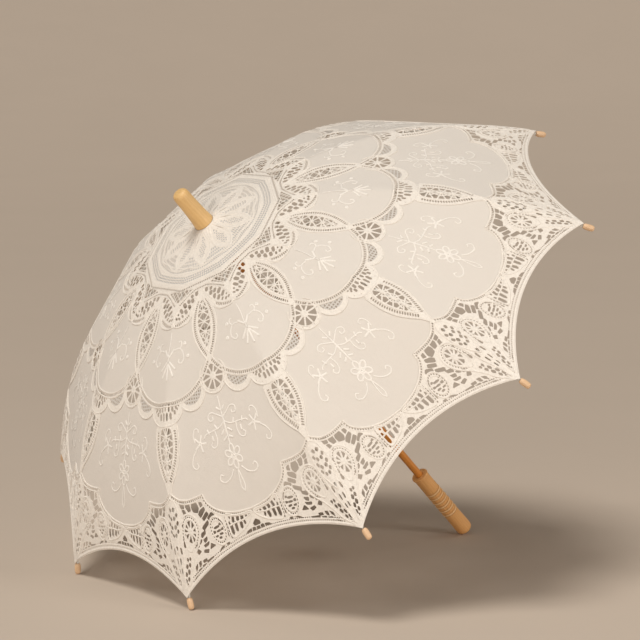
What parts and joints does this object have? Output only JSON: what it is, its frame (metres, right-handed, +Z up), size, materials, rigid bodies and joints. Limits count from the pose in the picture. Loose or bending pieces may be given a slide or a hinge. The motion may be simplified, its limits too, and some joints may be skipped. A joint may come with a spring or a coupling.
{
  "type": "parasol",
  "caption": "Folding lace sun parasol lying open: wooden stick with turned handle and ferrule, wire-hung ribs and stretchers on a sliding runner, lace-and-cloth canopy with scalloped hem.",
  "frame": {"origin": "centre of the footprint's bounding box, on the floor it lies on", "axes": "+Z up from the floor; the shaft leans 43.7 degrees from upright towards +X, ferrule end up; +Y is across the canopy, its widest way"},
  "size_m": [0.5698, 0.8164, 0.5503],
  "materials": {
    "stick_wood": "orange-brown stained and varnished",
    "handle_wood": "turned, tan, satin",
    "ferrule_wood": "turned, honey yellow, satin",
    "bead_wood": "pale, smooth",
    "lace": "ivory cotton lace and fine cloth, matt",
    "rib_paint": "off-white paint on steel strip",
    "spring_steel": "bright wire and leaf",
    "hub_plastic": "moulded, off-white"
  },
  "bodies": {
    "stick": {"shaft": "stick_wood", "handle": "handle_wood", "ferrule": "ferrule_wood", "crown_notch": "hub_plastic", "crown_ring": "spring_steel", "stop_pin": "spring_steel", "top_catch": "spring_steel", "bottom_catch": "spring_steel"},
    "runner": {"runner": "hub_plastic", "runner_ring": "spring_steel"},
    "rib_01": {"rib_01": "rib_paint", "bead_01": "bead_wood", "canopy_01": "lace"},
    "rib_02": {"rib_02": "rib_paint", "bead_02": "bead_wood", "canopy_02": "lace"},
    "rib_03": {"rib_03": "rib_paint", "bead_03": "bead_wood", "canopy_03": "lace"},
    "rib_04": {"rib_04": "rib_paint", "bead_04": "bead_wood", "canopy_04": "lace"},
    "rib_05": {"rib_05": "rib_paint", "bead_05": "bead_wood", "canopy_05": "lace"},
    "rib_06": {"rib_06": "rib_paint", "bead_06": "bead_wood", "canopy_06": "lace"},
    "rib_07": {"rib_07": "rib_paint", "bead_07": "bead_wood", "canopy_07": "lace"},
    "rib_08": {"rib_08": "rib_paint", "bead_08": "bead_wood", "canopy_08": "lace"},
    "rib_09": {"rib_09": "rib_paint", "bead_09": "bead_wood", "canopy_09": "lace"},
    "rib_10": {"rib_10": "rib_paint", "bead_10": "bead_wood", "canopy_10": "lace"},
    "stretcher_01": {"stretcher_01": "rib_paint"},
    "stretcher_02": {"stretcher_02": "rib_paint"},
    "stretcher_03": {"stretcher_03": "rib_paint"},
    "stretcher_04": {"stretcher_04": "rib_paint"},
    "stretcher_05": {"stretcher_05": "rib_paint"},
    "stretcher_06": {"stretcher_06": "rib_paint"},
    "stretcher_07": {"stretcher_07": "rib_paint"},
    "stretcher_08": {"stretcher_08": "rib_paint"},
    "stretcher_09": {"stretcher_09": "rib_paint"},
    "stretcher_10": {"stretcher_10": "rib_paint"}
  },
  "joints": [
    {"name": "rib_01_hinge", "type": "hinge", "parent": "stick", "child": "rib_01", "pos_m": [0.14818, 0.00278, 0.44013], "axis": [-0.2234, -0.9511, 0.2135], "range_deg": [0, 58], "deforming": ["canopy_01", "canopy_02", "canopy_03", "canopy_04", "canopy_05", "canopy_06", "canopy_07", "canopy_08", "canopy_09", "canopy_10", "top_catch", "bottom_catch"]},
    {"name": "rib_02_hinge", "type": "hinge", "parent": "stick", "child": "rib_02", "pos_m": [0.15054, 0.00728, 0.43788], "axis": [-0.5849, -0.5878, 0.5589], "range_deg": [0, 58]},
    {"name": "rib_03_hinge", "type": "hinge", "parent": "stick", "child": "rib_03", "pos_m": [0.15437, 0.009, 0.43422], "axis": [-0.723, 0, 0.6909], "range_deg": [0, 58]},
    {"name": "rib_04_hinge", "type": "hinge", "parent": "stick", "child": "rib_04", "pos_m": [0.15819, 0.00728, 0.43057], "axis": [-0.5849, 0.5878, 0.5589], "range_deg": [0, 58]},
    {"name": "rib_05_hinge", "type": "hinge", "parent": "stick", "child": "rib_05", "pos_m": [0.16056, 0.00278, 0.42831], "axis": [-0.2234, 0.9511, 0.2135], "range_deg": [0, 58]},
    {"name": "rib_06_hinge", "type": "hinge", "parent": "stick", "child": "rib_06", "pos_m": [0.16056, -0.00278, 0.42831], "axis": [0.2234, 0.9511, -0.2135], "range_deg": [0, 58]},
    {"name": "rib_07_hinge", "type": "hinge", "parent": "stick", "child": "rib_07", "pos_m": [0.15819, -0.00728, 0.43057], "axis": [0.5849, 0.5878, -0.5589], "range_deg": [0, 58]},
    {"name": "rib_08_hinge", "type": "hinge", "parent": "stick", "child": "rib_08", "pos_m": [0.15437, -0.009, 0.43422], "axis": [0.723, 0, -0.6909], "range_deg": [0, 58]},
    {"name": "rib_09_hinge", "type": "hinge", "parent": "stick", "child": "rib_09", "pos_m": [0.15054, -0.00728, 0.43788], "axis": [0.5849, -0.5878, -0.5589], "range_deg": [0, 58]},
    {"name": "rib_10_hinge", "type": "hinge", "parent": "stick", "child": "rib_10", "pos_m": [0.14818, -0.00278, 0.44013], "axis": [0.2234, -0.9511, -0.2135], "range_deg": [0, 58]},
    {"name": "runner_slide", "type": "slide", "parent": "stick", "child": "runner", "axis": [-0.6909, 0, -0.723], "range_m": [0, 0.2207]},
    {"name": "stretcher_01_hinge", "type": "hinge", "parent": "runner", "child": "stretcher_01", "pos_m": [0.05056, 0.00071, 0.33815], "axis": [0.2234, 0.9511, -0.2135], "range_deg": [0, 44.22]},
    {"name": "stretcher_02_hinge", "type": "hinge", "parent": "runner", "child": "stretcher_02", "pos_m": [0.05206, 0.00567, 0.33672], "axis": [0.5849, 0.5878, -0.5589], "range_deg": [0, 44.22]},
    {"name": "stretcher_03_hinge", "type": "hinge", "parent": "runner", "child": "stretcher_03", "pos_m": [0.05539, 0.00847, 0.33354], "axis": [0.723, 0, -0.6909], "range_deg": [0, 44.22]},
    {"name": "stretcher_04_hinge", "type": "hinge", "parent": "runner", "child": "stretcher_04", "pos_m": [0.05926, 0.00803, 0.32984], "axis": [0.5849, -0.5878, -0.5589], "range_deg": [0, 44.22]},
    {"name": "stretcher_05_hinge", "type": "hinge", "parent": "runner", "child": "stretcher_05", "pos_m": [0.06221, 0.00452, 0.32702], "axis": [0.2234, -0.9511, -0.2135], "range_deg": [0, 44.22]},
    {"name": "stretcher_06_hinge", "type": "hinge", "parent": "runner", "child": "stretcher_06", "pos_m": [0.0631, -0.00071, 0.32617], "axis": [-0.2234, -0.9511, 0.2135], "range_deg": [0, 44.22]},
    {"name": "stretcher_07_hinge", "type": "hinge", "parent": "runner", "child": "stretcher_07", "pos_m": [0.0616, -0.00567, 0.3276], "axis": [-0.5849, -0.5878, 0.5589], "range_deg": [0, 44.22]},
    {"name": "stretcher_08_hinge", "type": "hinge", "parent": "runner", "child": "stretcher_08", "pos_m": [0.05828, -0.00847, 0.33078], "axis": [-0.723, 0, 0.6909], "range_deg": [0, 44.22]},
    {"name": "stretcher_09_hinge", "type": "hinge", "parent": "runner", "child": "stretcher_09", "pos_m": [0.0544, -0.00803, 0.33448], "axis": [-0.5849, 0.5878, 0.5589], "range_deg": [0, 44.22]},
    {"name": "stretcher_10_hinge", "type": "hinge", "parent": "runner", "child": "stretcher_10", "pos_m": [0.05146, -0.00452, 0.3373], "axis": [-0.2234, 0.9511, 0.2135], "range_deg": [0, 44.22]}
  ],
  "couplings": [
    {"joint": "rib_02_hinge", "follows": "rib_01_hinge", "ratio": 1},
    {"joint": "rib_03_hinge", "follows": "rib_01_hinge", "ratio": 1},
    {"joint": "rib_04_hinge", "follows": "rib_01_hinge", "ratio": 1},
    {"joint": "rib_05_hinge", "follows": "rib_01_hinge", "ratio": 1},
    {"joint": "rib_06_hinge", "follows": "rib_01_hinge", "ratio": 1},
    {"joint": "rib_07_hinge", "follows": "rib_01_hinge", "ratio": 1},
    {"joint": "rib_08_hinge", "follows": "rib_01_hinge", "ratio": 1},
    {"joint": "rib_09_hinge", "follows": "rib_01_hinge", "ratio": 1},
    {"joint": "rib_10_hinge", "follows": "rib_01_hinge", "ratio": 1},
    {"joint": "runner_slide", "follows": "rib_01_hinge", "m_per_rad": 0.21799},
    {"joint": "stretcher_01_hinge", "follows": "rib_01_hinge", "ratio": 0.76222},
    {"joint": "stretcher_02_hinge", "follows": "rib_01_hinge", "ratio": 0.76222},
    {"joint": "stretcher_03_hinge", "follows": "rib_01_hinge", "ratio": 0.76222},
    {"joint": "stretcher_04_hinge", "follows": "rib_01_hinge", "ratio": 0.76222},
    {"joint": "stretcher_05_hinge", "follows": "rib_01_hinge", "ratio": 0.76222},
    {"joint": "stretcher_06_hinge", "follows": "rib_01_hinge", "ratio": 0.76222},
    {"joint": "stretcher_07_hinge", "follows": "rib_01_hinge", "ratio": 0.76222},
    {"joint": "stretcher_08_hinge", "follows": "rib_01_hinge", "ratio": 0.76222},
    {"joint": "stretcher_09_hinge", "follows": "rib_01_hinge", "ratio": 0.76222},
    {"joint": "stretcher_10_hinge", "follows": "rib_01_hinge", "ratio": 0.76222}
  ]
}
